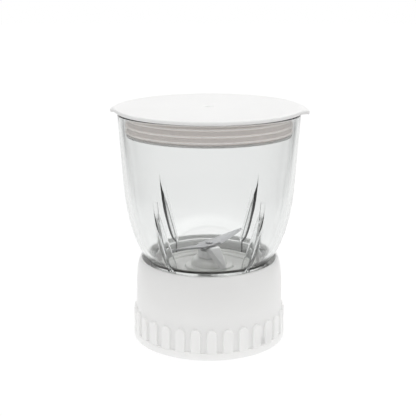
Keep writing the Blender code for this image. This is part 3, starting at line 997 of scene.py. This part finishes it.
# %% Neck gasket
gasket_low = bottom_of("jar_gasket")
gasket_high = top_of("jar_gasket")
gasket_section = rounded(
    [(33.4, gasket_low, 0.3), (38.4, gasket_low, 0.3), (38.4, gasket_high, 0.3), (33.4, gasket_high, 0.3)]
)
gasket = piece_from(
    "neck_gasket", lathe_mesh(gasket_section, even_turns(120)), "gasket", ["jar_gasket"]
)
silicone.on(gasket)

# %% [markdown]
# ## The spindle
#
# A steel shaft runs in two sintered bushes inside a satin sleeve. The blades sit on a square near its top
# and a riveted head holds them down. The sleeve is what shows between the blades and the boss.

# %% Sleeve and shaft
sleeve_top = top_of("bearing_housing")
sleeve_low = bottom_of("bearing_housing")
sleeve_section = rounded(
    [
        (7.0, 51.8, 0.25),
        (7.0, sleeve_top, 0.7),
        (5.0, sleeve_top, 0.3),
        (5.0, 53.0, 0.2),
        (4.4, 52.8, 0.1),
        (4.4, sleeve_low, 0.3),
        (5.1, sleeve_low, 0.3),
        (5.1, 51.8, 0.1),
    ]
)
sleeve = piece_from(
    "spindle_sleeve", lathe_mesh(sleeve_section, even_turns(64)), "base", ["bearing_housing"]
)
sleeve_steel.on(sleeve)

shaft_low = bottom_of("blade_shaft")
shaft_top = top_of("blade_shaft")
HUB_TOP = 60.8
shaft_section = rounded(
    [
        (0.0, shaft_low, 0),
        (3.0, shaft_low, 0.5),
        (3.0, 29.4, 0.1),
        (2.4, 29.4, 0.1),
        (2.4, 30.5, 0.1),
        (3.0, 30.5, 0.1),
        (3.0, 57.3, 0.2),
        (2.05, 57.4, 0.1),
        (2.05, HUB_TOP + 0.05, 0.05),
        (2.5, HUB_TOP + 0.15, 0.15),
        (2.35, shaft_top - 0.35, 0.25),
        (1.3, shaft_top, 0.3),
        (0.0, shaft_top - 0.1, 0),
    ]
)
shaft = piece_from(
    "spindle_shaft", lathe_mesh(shaft_section, even_turns(48)), "spindle", ["blade_shaft"]
)
turned_steel.on(shaft)

# %% [markdown]
# ## The blades
#
# Each blade is stamped from strip: a flat middle with two wings bent up or down, cut to a point and ground
# to an edge on the side that leads. The wing is built from stations along its length. At each station a
# small cross-section says where the ground edge, the flat top and the back are, and a bend law lifts the
# station.

# %% Blade builder
STRIP = 1.2
HUB_FLAT = 5.2
BEND_LENGTH = 3.0


def bend_lift(s, rise):
    """Height gained at distance s from the axis, with a round bend instead of a crease."""
    past = max(0.0, s - HUB_FLAT)
    turned_part = min(past, BEND_LENGTH)
    lift = math.tan(rise) * turned_part * turned_part / (2 * BEND_LENGTH)
    return lift + math.tan(rise) * max(0.0, past - BEND_LENGTH)


def station(s, lead, back, base_z, rise, ground):
    """Six corners of the cross-section at distance s: ground edge, flat top and underside."""
    lift = base_z + bend_lift(s, rise)
    width = back - lead
    grind = min(ground, width * 0.7)
    return [
        (s, lead, lift + 0.08),
        (s, lead + 0.02, lift),
        (s, back - 0.15, lift),
        (s, back, lift + 0.2),
        (s, back, lift + STRIP - 0.15),
        (s, back - 0.2, lift + STRIP),
        (s, lead + grind, lift + STRIP),
        (s, lead + grind * 0.94, lift + STRIP - 0.04),
    ]


def wing(reach, root, lead_tip, back_tip, base_z, rise, ground):
    """Stations from the axis to the tip; the leading edge runs straight, the back curves to the point."""
    rows = []
    for i in range(23):
        s = reach * i / 22
        t = max(0.0, (s - HUB_FLAT) / (reach - HUB_FLAT))
        lead = -root + (lead_tip + root) * t ** 1.5
        back = root + (back_tip - root) * t ** 1.25
        edge = ground * smooth((s - HUB_FLAT) / 3.0) + 0.25
        rows.append(station(s, lead, back, base_z, rise, edge))
    return rows


def blade_mesh(reach, root, lead_tip, back_tip, base_z, rise, angle, ground=2.4):
    rows = wing(reach, root, lead_tip, back_tip, base_z, rise, ground)
    shape = swept_box(rows)
    axis_face = [f for f in shape.faces if all(abs(v.co.x) < ON_AXIS * MM for v in f.verts)]
    bmesh.ops.delete(shape, geom=axis_face, context="FACES_ONLY")
    copies_round(shape, 2)
    open_edges = [e for e in shape.edges if e.is_boundary]
    bmesh.ops.bridge_loops(shape, edges=open_edges)
    bmesh.ops.recalc_face_normals(shape, faces=shape.faces)
    turn_points(shape, shape.verts, angle)
    return shape


# %% Two crossed blades
UPPER_ANGLE = math.radians(46.5)
LOWER_ANGLE = math.radians(-69.5)
UPPER_Z = 59.6
LOWER_Z = 58.1
UPPER_REACH = 32.1
LOWER_REACH = 26.4
upper_rise = math.radians(7)
lower_rise = math.radians(-21)

upper_blade = piece_from(
    "upper_cutter",
    blade_mesh(UPPER_REACH, 4.6, -0.6, 0.5, UPPER_Z, upper_rise, UPPER_ANGLE),
    "spindle",
    ["upper_blade"],
    sharp=20.0,
)
lower_blade = piece_from(
    "lower_cutter",
    blade_mesh(LOWER_REACH, 4.8, -1.5, 1.6, LOWER_Z, lower_rise, LOWER_ANGLE),
    "spindle",
    ["lower_blade"],
    sharp=20.0,
)
# Both blades are the same brushed steel: the upper one gets a darker copy of its colour as painted shade, and
# the lower one a paler copy as painted light.
UPPER_SHADE_STEEL = (0.47, 0.47, 0.48)
UPPER_SHADE_DULL = (0.36, 0.36, 0.37)
LOWER_LIT_STEEL = (0.72, 0.72, 0.72)
LOWER_LIT_DULL = (0.58, 0.58, 0.58)
brushed("upper_blade_shaded_steel", UPPER_SHADE_STEEL, UPPER_SHADE_DULL, 0.22, STREAKS_ALONG_X, UPPER_ANGLE).on(upper_blade)
brushed("lower_blade_lit_steel", LOWER_LIT_STEEL, LOWER_LIT_DULL, 0.24, STREAKS_ALONG_X, LOWER_ANGLE).on(lower_blade)

# %% [markdown]
# ## Under the ring
#
# Turn the mill over and the drive shows: a black six-toothed dog round a steel hub, with the nut, washers
# and clip above it and three screws in the ledge. These are small pieces, so plain turned sections with
# rounded edges are enough, and the screws get a cross recess.


# %% Drive dog
def dog_teeth():
    rows = []
    for z, grow_by in ((10.0, -0.5), (10.6, 0.0), (22.5, 0.0)):
        rows.append([(8.8, -1.8, z), (13.2 + grow_by, -1.2, z), (13.2 + grow_by, 1.2, z), (8.8, 1.8, z)])
    return copies_round(swept_box(rows), 6)


dog_low = bottom_of("drive_coupling")
dog_top = top_of("drive_coupling")
dog_section = rounded(
    [
        (5.5, dog_low, 0.3),
        (9.6, dog_low, 0.9),
        (9.6, 22.0, 0.3),
        (13.6, 22.0, 0.5),
        (13.6, dog_top, 0.5),
        (5.5, dog_top, 0.2),
        (5.5, 19.3, 0),
        (6.7, 19.3, 0),
        (6.7, 14.7, 0),
        (5.5, 14.7, 0),
    ]
)
dog = piece_from(
    "drive_dog", lathe_mesh(dog_section, even_turns(72)), "spindle", ["drive_coupling"]
)
carve(dog, dog_teeth(), "UNION", "dog_teeth")
black_moulding.on(dog)


# %% Screws with a cross recess
def cross_recess():
    """Two crossed wedges that narrow as they go in."""
    slot = [[(-1.5, -0.28, 23.9), (1.5, -0.28, 23.9), (1.5, 0.28, 23.9), (-1.5, 0.28, 23.9)]]
    slot.append([(-0.5, -0.2, 25.3), (0.5, -0.2, 25.3), (0.5, 0.2, 25.3), (-0.5, 0.2, 25.3)])
    return swept_box(slot)


def ledge_screw(number, angle):
    low = bottom_of(f"carrier_screw_{number}")
    high = top_of(f"carrier_screw_{number}")
    corners = [
        (0.0, low, 0),
        (2.0, low + 0.05, 0.4),
        (2.9, low + 0.9, 0.5),
        (2.9, low + 1.9, 0.15),
        (1.2, low + 1.9, 0.1),
        (1.2, high - 0.6, 0.2),
        (0.0, high, 0),
    ]
    shape = lathe_mesh(rounded(corners), even_turns(32))
    where = Vector((SCREW_CIRCLE * math.cos(angle), SCREW_CIRCLE * math.sin(angle), 0)) * MM
    bmesh.ops.translate(shape, verts=shape.verts, vec=where)
    made = piece_from(f"ledge_screw_{number}", shape, "base", [f"carrier_screw_{number}"])
    for k in range(2):
        cut = cross_recess()
        turn_points(cut, cut.verts, angle + k * math.pi / 2)
        bmesh.ops.translate(cut, verts=cut.verts, vec=where)
        carve(made, cut, "DIFFERENCE", f"recess_{number}_{k}")
    turned_steel.on(made)


for number, angle in enumerate(SCREW_ANGLES, start=1):
    ledge_screw(number, angle)

# %% [markdown]
# ## Small turned parts that stay as they are
#
# The model's own bushes, washers, clip, nut, rings and hub are already the right shape, so they only take a
# finish.

# %% Finishes for the model's own small parts
bronze.on(nodes["upper_bush"], nodes["lower_bush"])
rubber.on(nodes["shaft_seal"], nodes["housing_ring"])
nylon.on(nodes["thrust_washer_nylon"])
turned_steel.on(nodes["blade_washer"], nodes["thrust_washer_steel"])
turned_steel.on(nodes["coupling_insert"], nodes["housing_nut"])
sleeve_steel.on(nodes["shaft_circlip"])
print("small parts finished")

# %% [markdown]
# ## Studio
#
# A clear jar draws itself by what it bends and mirrors. A bright field behind it makes the clear wall read
# as bright, and a dimmer room in front makes a thin grey veil and darker edges. A ring of light above gives
# the white mouldings their shape. The bright field stands behind the front view only, so from the sides the
# room looks grey. The world also gives a more even answer to light that a matt surface gathers than to rays
# that are seen, mirrored or bent. That calms the lid's top by about six per cent and does little else, so it
# may be left out. A world by direction is simpler than soft boxes, and leaves no box-shaped glints.


# %% Eased steps and mixed colours
def eased(tree, value, low, high):
    """0 below low, 1 above high, eased between; it falls instead when low is above high."""
    node = tree.nodes.new("ShaderNodeMapRange")
    node.interpolation_type = "SMOOTHSTEP"
    node.inputs["From Min"].default_value = low
    node.inputs["From Max"].default_value = high
    feed(tree, value, node.inputs["Value"])
    return Flow(tree, node.outputs["Result"])


def colour_between(tree, share, first, second):
    """A mix of two colours; each is a triple or a Flow."""
    node = tree.nodes.new("ShaderNodeMix")
    node.data_type = "RGBA"
    feed(tree, share, node.inputs[0])
    for socket, value in ((node.inputs[6], first), (node.inputs[7], second)):
        feed(tree, value if isinstance(value, Flow) else (*value, 1.0), socket)
    return Flow(tree, node.outputs[2])


def larger(first, second):
    return first.maths("MAXIMUM", first, second)


# %% The room by direction
DIM = (0.30, 0.30, 0.305)
BRIGHT = (1.0, 1.0, 1.0)
RING_LEFT = (1.55, 1.55, 1.57)
RING_RIGHT = (2.25, 2.25, 2.23)
ZENITH = (0.62, 0.62, 0.62)
BEHIND = (0.45, 0.9)
LEFT_TO_RIGHT = (-0.7, 0.7)
RING_STARTS = (0.34, 0.50)
RING_ENDS = (0.68, 0.86)

world = bpy.data.worlds.new("tent")
world.use_nodes = True
sky = world.node_tree
direction = sky.nodes.new("ShaderNodeSeparateXYZ")
sky.links.new(sky.nodes.new("ShaderNodeTexCoord").outputs["Generated"], direction.inputs[0])
across, back, up = (Flow(sky, socket) for socket in direction.outputs)
low_band = colour_between(sky, eased(sky, back, *BEHIND), DIM, BRIGHT)
ring = colour_between(sky, eased(sky, across, *LEFT_TO_RIGHT), RING_LEFT, RING_RIGHT)
above = colour_between(sky, eased(sky, up, *RING_ENDS), ring, ZENITH)
room = colour_between(sky, eased(sky, up, *RING_STARTS), low_band, above)
print("room ready: dim in front, bright behind, ring above")

# %% Even light for matt surfaces
FILL_LOW = (0.80, 0.795, 0.79)
FILL_HIGH = (1.12, 1.12, 1.12)
FILL_RISES = (0.1, 0.9)
FILL_SHARE = 0.8

path = {name: Flow(sky, socket) for name, socket in sky.nodes.new("ShaderNodeLightPath").outputs.items()}
mirrored = larger(path["Is Glossy Ray"], path["Is Camera Ray"])
bent = larger(mirrored, path["Is Transmission Ray"])
scattered = bent.maths("MINIMUM", path["Diffuse Depth"], 1.0)
matt = larger(1.0 - bent, scattered)
even = colour_between(sky, eased(sky, up, *FILL_RISES), FILL_LOW, FILL_HIGH)
fill = colour_between(sky, FILL_SHARE, room, even)
tent = colour_between(sky, matt, room, fill)
sky.links.new(tent.socket, sky.nodes["Background"].inputs["Color"])
bpy.context.scene.world = world
bpy.context.scene.view_settings.view_transform = "Standard"
print("world ready")

# %% [markdown]
# ## Light inside the jar
#
# The lid keeps the light from above off the dish and the blades, and they render too dark. A weak disc of
# light just under the lid lifts them: it gives about a third of the light on the dish. It stands in for
# light that comes in through the lid and the walls, and there is no lamp there. It isn't seen or mirrored.

# %% Disc under the lid
DISC_WIDTH = 84.0
DISC_POWER = 0.027

disc_data = bpy.data.lights.new("jar_fill", "AREA")
disc_data.shape = "DISK"
disc_data.size = DISC_WIDTH * MM
disc_data.energy = DISC_POWER
disc = bpy.data.objects.new("jar_fill", disc_data)
disc.location = (0.0, 0.0, (plug_bottom - 1.0) * MM)
disc.visible_camera = False
disc.visible_glossy = False
bpy.context.scene.collection.objects.link(disc)
print("disc", DISC_WIDTH, "mm across under the lid")

# %% [markdown]
# ## A glowing table
#
# A sheet lit from below shows almost no shadow under the ring. It glows round the mill and behind it and is
# dim towards the front, so that the jar's lower half has dark edges too.


# %% Table sheet
def stage_sheet(name, half, finish):
    """A square sheet at height 0, for the stage only."""
    shape = bmesh.new()
    corners = [(-half, -half, 0), (half, -half, 0), (half, half, 0), (-half, half, 0)]
    shape.faces.new([shape.verts.new(c) for c in corners])
    mesh = bpy.data.meshes.new(name)
    shape.to_mesh(mesh)
    shape.free()
    made = bpy.data.objects.new(name, mesh)
    bpy.context.scene.collection.objects.link(made)
    finish.on(made)
    return made


# %% The table's glow
TABLE_HALF = 3.0
NEAR_EDGE = (0.36, 0.20)
SIDE_EDGE = (0.34, 0.16)
FRONT_EDGE = (-0.20, -0.05)
SPREAD = 0.3
GLOW_DIM = (0.24, 0.24, 0.24)
GLOW_LIT = (0.87, 0.87, 0.87)

table_top = Finish("pale_table", Base_Color=(0.15, 0.15, 0.15, 1.0), Roughness=0.9, Specular_IOR_Level=0.0)
where = table_top.node("TexCoord", out="Object")
side, rearward = (table_top.node("SeparateXYZ", Vector=where, out=i) for i in range(2))
distance = table_top.node("VectorMath", {"operation": "LENGTH"}, out=1, Vector=where)
width = side.maths("ABSOLUTE", side, 0.0) - SPREAD * rearward
near = eased(table_top.tree, distance, *NEAR_EDGE)
behind = eased(table_top.tree, width, *SIDE_EDGE) * eased(table_top.tree, rearward, *FRONT_EDGE)
table_top.set(Emission_Color=table_top.blend(larger(near, behind), GLOW_DIM, GLOW_LIT), Emission_Strength=1.0)
stage_sheet("floor", TABLE_HALF, table_top)
print("table", 2 * TABLE_HALF, "m square")
